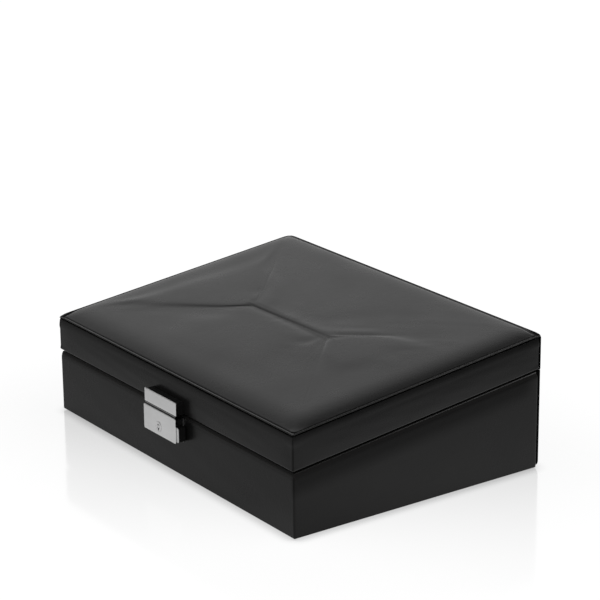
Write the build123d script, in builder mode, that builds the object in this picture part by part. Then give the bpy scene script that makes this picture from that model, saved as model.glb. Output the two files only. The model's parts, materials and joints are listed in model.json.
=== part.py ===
from build123d import *
import math
import os

# A wedge-shaped jewellery case in smooth leather, with a padded mirror lid and a side-release lock.
# Millimetres. X is the width, Y runs from the front to the back and Z is up.
# The origin is the centre of the underside, where the case stands.

os.makedirs("parts", exist_ok=True)

# The case's outer sizes
case_width = 258.8
case_depth = 180.8
seam_front = 41.1
seam_back = 63.4
seam_gap = 1.2
lid_front_height = 23.2
lid_back_height = 22.3
lid_overhang = 0.6

# Boards, leather and linings
leather = 1.0
wall_board = 5.0
bottom_board = 4.0
top_board = 3.0
lining = 1.8
lip_height = 3.5
lid_lining = 0.8
lip_clearance = 0.8
floor_pad = 1.5
turned_under = 12.0
foot_sheet = 0.8
foot_inset = 3.5

# Outer edges
front_corner = 1.6
back_corner = 2.0
rim_round = 1.2
back_panel = 1.5
panel_inset = 0.3
panel_corner = 4.0
panel_round = 0.7

# The padded top: how far its outline is drawn in, and how high it stands there
welt_width = 2.0
welt_height = 2.0
welt_round = 0.8
pad_gap = 0.4
pad_edge_drop = 0.6
pad_corner = 3.0
crown_steps = [(0, -pad_edge_drop), (8, 1.4), (18, 2.7), (30, 3.2)]

# The mirror in the lid
mirror_width = 190
mirror_depth = 110
mirror_glass = 2.0
mirror_frame_width = 12
mirror_frame_height = 3.0
mirror_cover = 2.0
mirror_corner = 3.0

# The inside
divider = 2.0
divider_drop = 8.0
front_rooms_depth = 74.6
ring_room_width = 141.6
back_rooms = 3
right_rooms = 2
roll_count = 5
roll_height = 25.0
roll_gap = 0.4

# Hinges
hinge_inset = 49.4
hinge_length = 30.0
knuckle_count = 5
knuckle_radius = 2.0
knuckle_side_gap = 0.05
hinge_pin_radius = 0.75
pin_clearance = 0.03
leaf_gap = 0.1
leaf_reach = 8.0
hinge_standoff = 0.3
leaf_notch_gap = 0.25
hinge_screw_spacing = 18.0
hinge_screw_in = 7.2
hinge_screw_radius = 0.8
hinge_screw_head = 1.3
hinge_screw_length = 6.0

# The lock: its X places are from the case's middle, its heights from the lower plate's bottom edge
lock_plate_x = (-18.6, 17.4)
lock_plate_height = 16.0
lock_plate_thickness = 0.8
lock_plate_corner = 0.9
lock_split_drop = 0.8
lock_split_gap = 1.8
lock_case_depth = 5.4
lock_case_wall = 1.0
lock_case_inset = 1.0
lock_case_drop = 0.5
lock_back_plate = 0.8
upper_plate_width = 35.2
upper_plate_height = 8.9
upper_housing_depth = 5.2
upper_housing_inset = 0.8
upper_housing_drop = 0.4
upper_housing_wall = 1.0

# The key cylinder and its cam
cylinder_x = -1.2
cylinder_height = 6.6
cylinder_radius = 3.0
cylinder_proud = 0.3
cylinder_length = 3.1
cylinder_clearance = 0.05
pivot_radius = 1.2
keyhole_radius = 1.5
keyhole_depth = 2.2
key_pin_radius = 0.8
key_pin_drop = 0.4
key_notch_width = 0.9
key_notch_reach = 2.35
cam_radius = 2.2
cam_reach = 6.2
cam_half_width = 1.2
cam_tilt = 10.0

# The hasp, which hangs from the lid into the lock: heights are from the key cylinder's middle
hasp_thickness = 1.0
hasp_back_gap = 1.4
hasp_leg = 6.8
hasp_mouth = 8.0
hasp_left_reach = 3.5
hasp_right_reach = 0.7
hasp_notch_low = 1.5
hasp_notch_high = 5.0
hasp_notch_depth = 3.2
hasp_window_low = 0.5
hasp_window_high = 4.0
hasp_window_width = 3.2
hasp_slot_front = 2.3
hasp_slot_gap = 0.4
hasp_foot_height = 5.0
hasp_foot_over = 2.0

# The release button, its spring and the catch
button_proud = 2.2
button_low = 1.8
button_height = 9.5
button_depth = 4.6
button_inside = 4.8
button_round = 1.4
button_trim = 0.5
button_gap = 0.1
bar_rise = 0.2
bar_height = 3.0
bar_depth = 2.6
bar_gap = 2.0
ramp_length = 1.6
ramp_height = 0.9
spring_stop = 1.0
spring_stop_gap = 2.1
spring_stop_height = 2.7
spring_radius = 0.85
spring_wire = 0.2
spring_turns = 5
catch_width = 2.4
catch_thickness = 0.3
catch_bar_gap = 0.2
catch_window_gap = 0.5
catch_stand = 0.9
catch_hook = 0.9
catch_foot_height = 1.5

# Rivets that hold the lock's two halves
rivet_radius = 0.8
rivet_head = 1.2
rivet_head_height = 0.6
rivet_in = 2.4
rivet_down = 1.5

# Places that follow from the sizes above
half_width = case_width / 2
front_y = -case_depth / 2
back_y = case_depth / 2
wrap_back_y = back_y - back_panel
lid_half = half_width + lid_overhang
lid_front_y = front_y - lid_overhang
lid_back_y = back_y + lid_overhang
lid_wrap_back_y = lid_back_y - back_panel
top_front = seam_front + lid_front_height
top_back = seam_back + lid_back_height
over_all = 2 * max(top_front, top_back)
lid_board = lid_overhang + wall_board - lid_lining - lip_clearance

# The seam's middle plane and the plane along the edge of the lid's top
seam_angle = math.atan2(seam_back - seam_front, case_depth)
seam = Plane(
    origin=(0, front_y, seam_front),
    x_dir=(1, 0, 0),
    z_dir=(0, -math.sin(seam_angle), math.cos(seam_angle)),
)
top_angle = math.atan2(top_back - top_front, lid_back_y - lid_front_y)
lid_edge = Plane(
    origin=(0, lid_front_y, top_front),
    x_dir=(1, 0, 0),
    z_dir=(0, -math.sin(top_angle), math.cos(top_angle)),
)
base_rim = seam.offset(-seam_gap / 2)
lid_rim = seam.offset(seam_gap / 2)
base_board_top = base_rim.offset(-leather)
lip_top = base_rim.offset(lip_height)
lid_board_low = lid_rim.offset(leather)
welt_low = lid_edge.offset(-welt_height)
rail_top = welt_low.offset(-top_board)
lid_ceiling = rail_top.offset(-lid_lining)

# Heights and wall faces of the base
wall_low = foot_sheet + leather
floor_low = wall_low + bottom_board
floor_top = floor_low + floor_pad
board_x = half_width - leather
board_in_x = board_x - wall_board
board_front = front_y + leather
board_front_in = board_front + wall_board
board_back = wrap_back_y - leather
board_back_in = board_back - wall_board
room_x = board_in_x - lining
room_front = board_front_in + lining
room_back = board_back_in - lining

# Wall faces of the lid
rail_x = lid_half - leather
rail_in_x = rail_x - lid_board
rail_front = lid_front_y + leather
rail_front_in = rail_front + lid_board
rail_back = lid_wrap_back_y - leather
rail_back_in = rail_back - lid_board

# Places in the lock's lower half
split_z = seam_front - lock_split_drop
plate_top = split_z - lock_split_gap / 2
plate_low = plate_top - lock_plate_height
cylinder_z = plate_low + cylinder_height
case_back = front_y - lock_back_plate
case_front = case_back - lock_case_depth
plate_front = case_front - lock_plate_thickness
case_x = (lock_plate_x[0] + lock_case_inset, lock_plate_x[1] - lock_case_inset)
case_z = (plate_low + lock_case_drop, plate_top - lock_case_drop)
case_in_x = (case_x[0] + lock_case_wall, case_x[1] - lock_case_wall)
case_in_z = (case_z[0] + lock_case_wall, case_z[1] - lock_case_wall)
hasp_y = (case_back - hasp_back_gap - hasp_thickness, case_back - hasp_back_gap)
left_leg_x = (cylinder_x - hasp_mouth / 2 - hasp_leg, cylinder_x - hasp_mouth / 2)
right_leg_x = (cylinder_x + hasp_mouth / 2, cylinder_x + hasp_mouth / 2 + hasp_leg)
hasp_window_z = (cylinder_z + hasp_window_low, cylinder_z + hasp_window_high)
button_z = (plate_low + button_low, plate_low + button_low + button_height)
bar_z = (button_z[0] + bar_rise, button_z[0] + bar_rise + bar_height)
bar_tip_x = right_leg_x[1] - bar_gap
spring_stop_x = (cylinder_x + spring_stop_gap, cylinder_x + spring_stop_gap + spring_stop)
rivet_z = case_in_z[1] - rivet_down
rivet_places = (case_in_x[0] + rivet_in, case_in_x[1] - rivet_in)

# An edge this close to a plane lies on it
on_plane = 1e-4

pieces = {}


def mid(span):
    """The middle of a (low, high) pair."""
    return (span[0] + span[1]) / 2


def width(span):
    """How far a (low, high) pair reaches."""
    return span[1] - span[0]


def box(x, y, z, mode=Mode.ADD):
    """A box from three (low, high) pairs."""
    with BuildSketch(Plane.XY.offset(z[0])) as outline:
        with Locations((mid(x), mid(y))):
            Rectangle(width(x), width(y))
    extrude(outline.sketch, amount=width(z), mode=mode)


def wall(x, y, low, roof):
    """A wall on the rectangle x by y, from the height low up to the sloping plane roof."""
    box(x, y, (low, over_all))
    split(bisect_by=roof, keep=Keep.BOTTOM)


def layer(x, y, floor, roof):
    """What stands on the rectangle x by y between two sloping planes."""
    box(x, y, (0, over_all))
    split(bisect_by=floor, keep=Keep.TOP)
    split(bisect_by=roof, keep=Keep.BOTTOM)


def cornered(x, y, low):
    """A tall block on the rectangle x by y with the case's rounded upright corners."""
    with BuildSketch(Plane.XY.offset(low)) as outline:
        with Locations((mid(x), mid(y))):
            Rectangle(width(x), width(y))
        fillet(outline.vertices().group_by(Axis.Y)[0], front_corner)
        fillet(outline.vertices().group_by(Axis.Y)[-1], back_corner)
    extrude(outline.sketch, amount=over_all)


def edges_on(part, plane):
    """The edges of a part that lie on a plane."""
    found = []
    for edge in part.edges():
        heights = [abs(plane.to_local_coords(point).Z) for point in (edge.center(), edge @ 0, edge @ 1)]
        if max(heights) < on_plane:
            found.append(edge)
    return found


def facing_back(y, x=0.0, z=0.0):
    """A plane across the case at a depth y that looks to the back, with its own X to the left."""
    return Plane(origin=(x, y, z), x_dir=(-1, 0, 0), z_dir=(0, 1, 0))


def facing_front(y, x=0.0, z=0.0):
    """A plane across the case at a depth y that looks to the front, with its own X to the right."""
    return Plane(origin=(x, y, z), x_dir=(1, 0, 0), z_dir=(0, -1, 0))


def rod(y, x, z, radius, mode=Mode.ADD):
    """A round bar from front to back, between the two depths y."""
    with BuildSketch(facing_back(y[0], x, z)) as outline:
        Circle(radius)
    extrude(outline.sketch, amount=width(y), mode=mode)


# Base: five boards

with BuildPart() as pieces["base_front_board"]:
    wall((-board_x, board_x), (board_front, board_front_in), wall_low, base_board_top)
    for rivet_x in rivet_places:
        rod((board_front, board_front_in), rivet_x, rivet_z, rivet_radius, Mode.SUBTRACT)

with BuildPart() as pieces["base_back_board"]:
    wall((-board_x, board_x), (board_back_in, board_back), wall_low, base_board_top)

for name, side in (("left", -1), ("right", 1)):
    with BuildPart() as pieces[f"base_{name}_board"]:
        side_x = sorted((side * board_in_x, side * board_x))
        wall(side_x, (board_front_in, board_back_in), wall_low, base_board_top)

with BuildPart() as pieces["base_bottom_board"]:
    box((-board_in_x, board_in_x), (board_front_in, board_back_in), (wall_low, floor_low))

# Base: leather over the front and sides, turned over the rim and in under the boards

with BuildPart() as base_core:
    wall((-board_x, board_x), (board_front, board_back), wall_low, base_board_top)

with BuildPart() as pieces["base_leather"]:
    cornered((-half_width, half_width), (front_y, wrap_back_y), foot_sheet)
    split(bisect_by=base_rim, keep=Keep.BOTTOM)
    fillet(edges_on(pieces["base_leather"].part, base_rim), rim_round)
    add(base_core.part, mode=Mode.SUBTRACT)
    box((-board_in_x, board_in_x), (board_front_in, board_back_in), (wall_low, over_all), Mode.SUBTRACT)
    box(
        (turned_under - half_width, half_width - turned_under),
        (front_y + turned_under, wrap_back_y - turned_under),
        (foot_sheet, wall_low),
        Mode.SUBTRACT,
    )
    for rivet_x in rivet_places:
        rod((front_y, board_front), rivet_x, rivet_z, rivet_radius, Mode.SUBTRACT)

with BuildPart() as pieces["base_back_panel"]:
    panel_half = half_width - panel_inset
    with BuildSketch(facing_back(wrap_back_y)):
        with Locations((0, (foot_sheet + over_all) / 2)):
            Rectangle(2 * panel_half, over_all - foot_sheet)
    extrude(amount=back_panel)
    lower = pieces["base_back_panel"].edges().filter_by(Axis.Y).group_by(Axis.Z)[0]
    fillet(lower, panel_corner)
    split(bisect_by=base_rim, keep=Keep.BOTTOM)
    fillet(pieces["base_back_panel"].faces().sort_by(Axis.Y)[-1].edges(), panel_round)

with BuildPart() as pieces["foot_sheet"]:
    box(
        (foot_inset - half_width, half_width - foot_inset),
        (front_y + foot_inset, back_y - foot_inset),
        (0, foot_sheet),
    )
    box(
        (turned_under - half_width, half_width - turned_under),
        (front_y + turned_under, wrap_back_y - turned_under),
        (foot_sheet, wall_low),
    )

# Base: the lining, whose walls stand above the rim and guide the lid

with BuildPart() as pieces["floor_pad"]:
    box((-room_x, room_x), (room_front, room_back), (floor_low, floor_top))

with BuildPart() as pieces["lining_front"]:
    wall((-board_in_x, board_in_x), (board_front_in, room_front), floor_low, lip_top)

with BuildPart() as pieces["lining_back"]:
    wall((-board_in_x, board_in_x), (room_back, board_back_in), floor_low, lip_top)

for name, side in (("left", -1), ("right", 1)):
    with BuildPart() as pieces[f"lining_{name}"]:
        wall(sorted((side * room_x, side * board_in_x)), (room_front, room_back), floor_low, lip_top)

# Base: dividers, their tops parallel to the seam

divider_top = base_rim.offset(-divider_drop)
long_y = (room_front + front_rooms_depth, room_front + front_rooms_depth + divider)
ring_x = (-room_x + ring_room_width, -room_x + ring_room_width + divider)

with BuildPart() as pieces["divider_long"]:
    wall((-room_x, room_x), long_y, floor_top, divider_top)

with BuildPart() as pieces["divider_rings"]:
    wall(ring_x, (room_front, long_y[0]), floor_top, divider_top)

for number in range(1, right_rooms):
    with BuildPart() as pieces[f"divider_right_{number}"]:
        centre = room_front + number * front_rooms_depth / right_rooms
        wall((ring_x[1], room_x), (centre - divider / 2, centre + divider / 2), floor_top, divider_top)

for number in range(1, back_rooms):
    with BuildPart() as pieces[f"divider_back_{number}"]:
        centre = -room_x + number * 2 * room_x / back_rooms
        wall((centre - divider / 2, centre + divider / 2), (long_y[1], room_back), floor_top, divider_top)

# Base: padded ring rolls, round on top, side by side so that rings slip in between them

roll_pitch = (long_y[0] - room_front) / roll_count
roll_radius = (roll_pitch - roll_gap) / 2
roll_top = floor_top + roll_height
shoulder = roll_top - roll_radius
for number in range(roll_count):
    with BuildPart() as pieces[f"ring_roll_{number + 1}"]:
        roll_y = room_front + (number + 0.5) * roll_pitch
        with BuildSketch(Plane.YZ.offset(-room_x)) as section:
            with BuildLine():
                front_side = roll_y - roll_radius
                back_side = roll_y + roll_radius
                Polyline(
                    (front_side, shoulder),
                    (front_side, floor_top),
                    (back_side, floor_top),
                    (back_side, shoulder),
                )
                ThreePointArc((back_side, shoulder), (roll_y, roll_top), (front_side, shoulder))
            make_face()
        extrude(amount=ring_x[0] + room_x)

# Lid: four rails under a top board

with BuildPart() as pieces["lid_front_rail"]:
    layer((-rail_x, rail_x), (rail_front, rail_front_in), lid_board_low, rail_top)

with BuildPart() as pieces["lid_back_rail"]:
    layer((-rail_x, rail_x), (rail_back_in, rail_back), lid_board_low, rail_top)

for name, side in (("left", -1), ("right", 1)):
    with BuildPart() as pieces[f"lid_{name}_rail"]:
        side_x = sorted((side * rail_in_x, side * rail_x))
        layer(side_x, (rail_front_in, rail_back_in), lid_board_low, rail_top)

with BuildPart() as pieces["lid_top_board"]:
    layer((-rail_x, rail_x), (rail_front, rail_back), rail_top, welt_low)

# Lid: leather over the rails, a panel behind, and a welt round the top

with BuildPart() as lid_core:
    layer((-rail_x, rail_x), (rail_front, rail_back), lid_board_low, welt_low)

with BuildPart() as pieces["lid_leather"]:
    cornered((-lid_half, lid_half), (lid_front_y, lid_wrap_back_y), 0)
    split(bisect_by=lid_rim, keep=Keep.TOP)
    split(bisect_by=welt_low, keep=Keep.BOTTOM)
    fillet(edges_on(pieces["lid_leather"].part, lid_rim), rim_round)
    fillet(edges_on(pieces["lid_leather"].part, welt_low), welt_round / 2)
    add(lid_core.part, mode=Mode.SUBTRACT)
    box((-rail_in_x, rail_in_x), (rail_front_in, rail_back_in), (0, over_all), Mode.SUBTRACT)

with BuildPart() as pieces["lid_back_panel"]:
    lid_panel_half = lid_half - panel_inset
    with BuildSketch(facing_back(lid_wrap_back_y)):
        with Locations((0, over_all / 2)):
            Rectangle(2 * lid_panel_half, over_all)
    extrude(amount=back_panel)
    split(bisect_by=lid_rim, keep=Keep.TOP)
    split(bisect_by=welt_low, keep=Keep.BOTTOM)
    fillet(pieces["lid_back_panel"].faces().sort_by(Axis.Y)[-1].edges(), panel_round)

with BuildPart() as pieces["lid_welt"]:
    cornered((-lid_half, lid_half), (lid_front_y, lid_back_y), 0)
    split(bisect_by=welt_low, keep=Keep.TOP)
    split(bisect_by=lid_edge, keep=Keep.BOTTOM)
    fillet(edges_on(pieces["lid_welt"].part, lid_edge), welt_round)
    fillet(edges_on(pieces["lid_welt"].part, welt_low), welt_round / 2)
    box(
        (welt_width - lid_half, lid_half - welt_width),
        (lid_front_y + welt_width, lid_back_y - welt_width),
        (0, over_all),
        Mode.SUBTRACT,
    )

# Lid: the crowned foam pad and the leather stretched over it

lid_slope_length = (lid_back_y - lid_front_y) / math.cos(top_angle)
pad_margin = welt_width + pad_gap


def pad_outline(inset, rise):
    """The pad's rounded outline, drawn in by inset, on a plane this far above the lid's edge."""
    with BuildSketch(lid_edge.offset(rise)) as outline:
        with Locations((0, lid_slope_length / 2)):
            RectangleRounded(
                2 * (lid_half - pad_margin - inset),
                lid_slope_length - 2 * (pad_margin + inset),
                pad_corner + inset / 2,
            )
    return outline.sketch


def crowned_pad(skin):
    """The padded top's form, all of it a skin's thickness inside the outermost surface."""
    extrude(pad_outline(skin, -welt_height), amount=welt_height - pad_edge_drop - skin)
    loft([pad_outline(inset + skin, rise - skin) for inset, rise in crown_steps])


with BuildPart() as pieces["lid_foam"]:
    crowned_pad(leather)

with BuildPart() as pieces["lid_top_leather"]:
    crowned_pad(0)
    add(pieces["lid_foam"].part, mode=Mode.SUBTRACT)

# Lid: lining and mirror

with BuildPart() as pieces["lid_lining_top"]:
    layer((-rail_in_x, rail_in_x), (rail_front_in, rail_back_in), lid_ceiling, rail_top)

with BuildPart() as pieces["lid_lining_edge"]:
    layer((-rail_in_x, rail_in_x), (rail_front_in, rail_back_in), lid_board_low, lid_ceiling)
    box(
        (lid_lining - rail_in_x, rail_in_x - lid_lining),
        (rail_front_in + lid_lining, rail_back_in - lid_lining),
        (0, over_all),
        Mode.SUBTRACT,
    )


def lid_plate(high, thickness, across, deep, corner, mode=Mode.ADD):
    """A rounded plate under the lid's middle, its upper face on the sloping plane high."""
    with BuildSketch(high.offset(-thickness)) as outline:
        with Locations((0, lid_slope_length / 2)):
            RectangleRounded(across, deep, corner)
    extrude(outline.sketch, amount=thickness, mode=mode)


with BuildPart() as pieces["mirror"]:
    lid_plate(lid_ceiling, mirror_glass, mirror_width, mirror_depth, mirror_corner)

with BuildPart() as pieces["mirror_frame"]:
    frame_across = mirror_width + 2 * mirror_frame_width
    frame_deep = mirror_depth + 2 * mirror_frame_width
    frame_corner = mirror_corner + mirror_frame_width
    lid_plate(lid_ceiling, mirror_frame_height, frame_across, frame_deep, frame_corner)
    lid_plate(lid_ceiling, mirror_glass, mirror_width, mirror_depth, mirror_corner, Mode.SUBTRACT)
    sight_across = mirror_width - 2 * mirror_cover
    sight_deep = mirror_depth - 2 * mirror_cover
    sight_corner = mirror_corner - mirror_cover
    lid_plate(lid_ceiling, mirror_frame_height, sight_across, sight_deep, sight_corner, Mode.SUBTRACT)

# Hinges: two leaves lie in the seam and meet in knuckles behind the case

axis_y = lid_back_y + hinge_standoff + knuckle_radius
axis_z = seam_front + (axis_y - front_y) * math.tan(seam_angle)
axis_along = (axis_y - front_y) / math.cos(seam_angle)
leaf_thickness = (seam_gap - leaf_gap) / 2
hinge_x = half_width - hinge_inset
knuckle = hinge_length / knuckle_count
screw_along = axis_along - hinge_screw_in


def leaf(centre_x, up, first):
    """One hinge leaf in the seam: up is 1 for the lid's and -1 for the base's, first is its first knuckle."""
    low = leaf_gap / 2 if up > 0 else -seam_gap / 2
    plate_end = axis_along - knuckle_radius - leaf_notch_gap
    plate_start = axis_along - knuckle_radius - leaf_reach
    with BuildSketch(seam.offset(low)) as plate:
        with Locations((centre_x, (plate_start + plate_end) / 2)):
            Rectangle(hinge_length, plate_end - plate_start)
        for number in range(first, knuckle_count, 2):
            knuckle_x = centre_x - hinge_length / 2 + (number + 0.5) * knuckle
            with Locations((knuckle_x, (plate_end + axis_along) / 2)):
                Rectangle(knuckle - 2 * knuckle_side_gap, axis_along - plate_end)
    extrude(plate.sketch, amount=leaf_thickness)
    for number in range(first, knuckle_count, 2):
        start = centre_x - hinge_length / 2 + number * knuckle + knuckle_side_gap
        with BuildSketch(Plane(origin=(start, axis_y, axis_z), z_dir=(1, 0, 0))) as barrel:
            Circle(knuckle_radius)
        extrude(barrel.sketch, amount=knuckle - 2 * knuckle_side_gap)
    with BuildSketch(Plane(origin=(centre_x - hinge_length / 2, axis_y, axis_z), z_dir=(1, 0, 0))) as bore:
        Circle(hinge_pin_radius + pin_clearance)
    extrude(bore.sketch, amount=hinge_length, mode=Mode.SUBTRACT)
    add(screws(centre_x, up), mode=Mode.SUBTRACT)


def screws(centre_x, up):
    """The two countersunk screws of one leaf, driven away from the seam's middle."""
    with BuildPart(mode=Mode.PRIVATE) as pair:
        head_height = hinge_screw_head - hinge_screw_radius
        for side in (-1, 1):
            screw_x = centre_x + side * hinge_screw_spacing / 2
            where = Plane(
                origin=seam.from_local_coords((screw_x, screw_along, up * leaf_gap / 2)),
                x_dir=(1, 0, 0),
                z_dir=seam.z_dir * up,
            )
            with BuildSketch(where) as shank:
                Circle(hinge_screw_radius)
            extrude(shank.sketch, amount=hinge_screw_length)
            with BuildSketch(where) as head:
                Circle(hinge_screw_head)
            with BuildSketch(where.offset(head_height)) as neck:
                Circle(hinge_screw_radius)
            loft([head.sketch, neck.sketch])
    return pair.part


screw_sets = {"base": [], "lid": []}
for name, side in (("left", -1), ("right", 1)):
    with BuildPart() as pieces[f"base_hinge_leaf_{name}"]:
        leaf(side * hinge_x, -1, 0)
    with BuildPart() as pieces[f"lid_hinge_leaf_{name}"]:
        leaf(side * hinge_x, 1, 1)
    with BuildPart() as pieces[f"hinge_pin_{name}"]:
        pin_start = side * hinge_x - hinge_length / 2
        with BuildSketch(Plane(origin=(pin_start, axis_y, axis_z), z_dir=(1, 0, 0))):
            Circle(hinge_pin_radius)
        extrude(amount=hinge_length)
    screw_sets["base"].append(screws(side * hinge_x, -1))
    screw_sets["lid"].append(screws(side * hinge_x, 1))

drilled_for = {"base": ("base_leather", "base_back_board"), "lid": ("lid_leather", "lid_back_rail")}
for body, drilled in drilled_for.items():
    with BuildPart() as pieces[f"{body}_hinge_screws"]:
        for pair in screw_sets[body]:
            add(pair)
    for node in drilled:
        with pieces[node]:
            for pair in screw_sets[body]:
                add(pair, mode=Mode.SUBTRACT)

# Lock, lower half: a case of four walls between the front plate and a back plate

with BuildPart() as pieces["lock_plate"]:
    with BuildSketch(facing_front(case_front, mid(lock_plate_x), (plate_low + plate_top) / 2)):
        RectangleRounded(width(lock_plate_x), lock_plate_height, lock_plate_corner)
    extrude(amount=lock_plate_thickness)
    cylinder_hole = cylinder_radius + cylinder_clearance
    rod((plate_front, case_front), cylinder_x, cylinder_z, cylinder_hole, Mode.SUBTRACT)

with BuildPart() as pieces["lock_case"]:
    box(case_x, (case_front, case_back), case_z)
    box(case_in_x, (case_front, case_back), case_in_z, Mode.SUBTRACT)
    box(
        (case_in_x[1], case_x[1]),
        (case_front, case_back),
        (button_z[0] - button_gap, button_z[1] + button_gap),
        Mode.SUBTRACT,
    )
    for leg_x in (left_leg_x, right_leg_x):
        box(
            (leg_x[0] - hasp_slot_gap, leg_x[1] + hasp_slot_gap),
            (hasp_y[0] - hasp_slot_front, hasp_y[1] + hasp_slot_gap),
            (case_in_z[1], case_z[1]),
            Mode.SUBTRACT,
        )
    box(spring_stop_x, (case_front, case_back), (case_in_z[0], case_in_z[0] + spring_stop_height))

with BuildPart() as pieces["lock_back_plate"]:
    box(case_x, (case_back, front_y), case_z)
    rod((case_back, front_y), cylinder_x, cylinder_z, pivot_radius + cylinder_clearance, Mode.SUBTRACT)
    for rivet_x in rivet_places:
        rod((case_back, front_y), rivet_x, rivet_z, rivet_radius, Mode.SUBTRACT)

with BuildPart() as pieces["lock_rivets"]:
    for rivet_x in rivet_places:
        rod((case_back, board_front_in), rivet_x, rivet_z, rivet_radius)
        rod((case_back - rivet_head_height, case_back), rivet_x, rivet_z, rivet_head)

# Lock: the key cylinder turns in the front plate, and carries the cam behind it

with BuildPart() as pieces["key_cylinder"]:
    face_y = plate_front - cylinder_proud
    rod((face_y, face_y + cylinder_length), cylinder_x, cylinder_z, cylinder_radius)
    rod((face_y + cylinder_length, front_y), cylinder_x, cylinder_z, pivot_radius)
    with BuildSketch(facing_front(face_y, cylinder_x, cylinder_z)):
        Circle(keyhole_radius)
        with Locations((0, -key_notch_reach / 2)):
            Rectangle(key_notch_width, key_notch_reach)
    extrude(amount=-keyhole_depth, mode=Mode.SUBTRACT)
    rod((face_y + key_pin_drop, face_y + keyhole_depth), cylinder_x, cylinder_z, key_pin_radius)

with BuildPart() as pieces["lock_cam"]:
    with BuildSketch(facing_front(hasp_y[1], cylinder_x, cylinder_z)):
        Circle(cam_radius)
        with Locations(Rotation(0, 0, -cam_tilt)):
            with Locations((0, cam_reach / 2)):
                Rectangle(2 * cam_half_width, cam_reach)
        Circle(pivot_radius, mode=Mode.SUBTRACT)
    extrude(amount=hasp_thickness)

# Lock: the release button slides in from the right, its bar pushing the catch back

button_x = (case_x[1] - button_inside + button_proud, lock_plate_x[1] + button_proud)
button_y = (case_front + button_gap + button_trim, case_front + button_gap + button_trim + button_depth)
bar_back = hasp_y[1]

with BuildPart() as pieces["release_button"]:
    box(button_x, button_y, button_z)
    outer = pieces["release_button"].edges().filter_by(Axis.Y).group_by(Axis.X)[-1]
    fillet(outer, button_round)
    box((bar_tip_x, button_x[0]), (bar_back - bar_depth, bar_back), bar_z)
    with BuildSketch(Plane.XY.offset(bar_z[0])):
        with BuildLine():
            Polyline(
                (bar_tip_x, bar_back),
                (bar_tip_x + ramp_length, bar_back + ramp_height),
                (bar_tip_x + 2 * ramp_length, bar_back + ramp_height),
                (bar_tip_x + 2 * ramp_length, bar_back),
                close=True,
            )
        make_face()
    extrude(amount=width(bar_z))

with BuildPart() as pieces["button_trim"]:
    trim_x = (case_x[1], button_x[1])
    box(trim_x, (button_y[0] - button_trim, button_y[0]), button_z)
    outer = pieces["button_trim"].edges().filter_by(Axis.Y).group_by(Axis.X)[-1]
    fillet(outer, button_round)

with BuildPart() as pieces["button_spring"]:
    spring_y = bar_back - bar_depth / 2
    spring_z = mid(bar_z)
    spring_start = spring_stop_x[1] + spring_wire
    spring_length = bar_tip_x - spring_wire - spring_start
    with BuildLine() as coil:
        Helix(
            spring_length / spring_turns,
            spring_length,
            spring_radius,
            center=(spring_start, spring_y, spring_z),
            direction=(1, 0, 0),
        )
    with BuildSketch(Plane(origin=coil.line @ 0, z_dir=coil.line % 0)):
        Circle(spring_wire)
    sweep()

with BuildPart() as pieces["catch_leaf"]:
    catch_x = (bar_tip_x - catch_bar_gap - catch_width, bar_tip_x - catch_bar_gap)
    catch_back = case_back - catch_stand
    catch_top = hasp_window_z[1] - catch_window_gap
    box(catch_x, (catch_back - catch_thickness, catch_back), (case_in_z[0], catch_top))
    box(catch_x, (catch_back, case_back), (case_in_z[0], case_in_z[0] + catch_foot_height))
    with BuildSketch(Plane.YZ.offset(catch_x[0])):
        with BuildLine():
            hook_root = catch_back - catch_thickness
            Polyline(
                (hook_root, catch_top),
                (hook_root - catch_hook, hasp_window_z[0] + catch_window_gap),
                (hook_root, hasp_window_z[0] + catch_window_gap),
                close=True,
            )
        make_face()
    extrude(amount=catch_width)

# Lock, upper half on the lid: housing, plate, and the hasp with its two legs

upper_low = split_z + lock_split_gap / 2
upper_z = (upper_low, upper_low + upper_plate_height)
housing_z = (upper_z[0] + upper_housing_drop, upper_z[1] - upper_housing_drop)
housing_half = upper_plate_width / 2 - upper_housing_inset
housing_front = lid_front_y - upper_housing_depth
foot_z = (housing_z[1] - upper_housing_wall - hasp_foot_height, housing_z[1] - upper_housing_wall)
foot_x = (left_leg_x[0] - hasp_foot_over, right_leg_x[1] + hasp_foot_over)
upper_rivet_z = mid(foot_z)

with BuildPart() as pieces["lid_lock_plate"]:
    with BuildSketch(facing_front(housing_front, 0, mid(upper_z))):
        RectangleRounded(upper_plate_width, upper_plate_height, lock_plate_corner)
    extrude(amount=lock_plate_thickness)

with BuildPart() as pieces["lid_lock_housing"]:
    box((-housing_half, housing_half), (housing_front, lid_front_y), housing_z)
    box(
        (upper_housing_wall - housing_half, housing_half - upper_housing_wall),
        (housing_front + upper_housing_wall, lid_front_y),
        (housing_z[0], housing_z[1] - upper_housing_wall),
        Mode.SUBTRACT,
    )

with BuildPart() as pieces["hasp"]:
    box((left_leg_x[0], right_leg_x[1]), hasp_y, (foot_z[0], foot_z[1]))
    box(foot_x, (hasp_y[1], lid_front_y), foot_z)
    box(left_leg_x, hasp_y, (cylinder_z - hasp_left_reach, foot_z[0]))
    box(right_leg_x, hasp_y, (cylinder_z - hasp_right_reach, foot_z[0]))
    notch_x = (left_leg_x[1] - hasp_notch_depth, left_leg_x[1])
    box(notch_x, hasp_y, (cylinder_z - hasp_notch_low, cylinder_z + hasp_notch_high), Mode.SUBTRACT)
    window_x = (mid(catch_x) - hasp_window_width / 2, mid(catch_x) + hasp_window_width / 2)
    box(window_x, hasp_y, hasp_window_z, Mode.SUBTRACT)

with BuildPart() as pieces["lid_lock_rivets"]:
    for side in (-1, 1):
        rivet_x = mid(foot_x) + side * (width(foot_x) / 2 - rivet_head)
        rod((hasp_y[1], rail_front_in), rivet_x, upper_rivet_z, rivet_radius)

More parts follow.
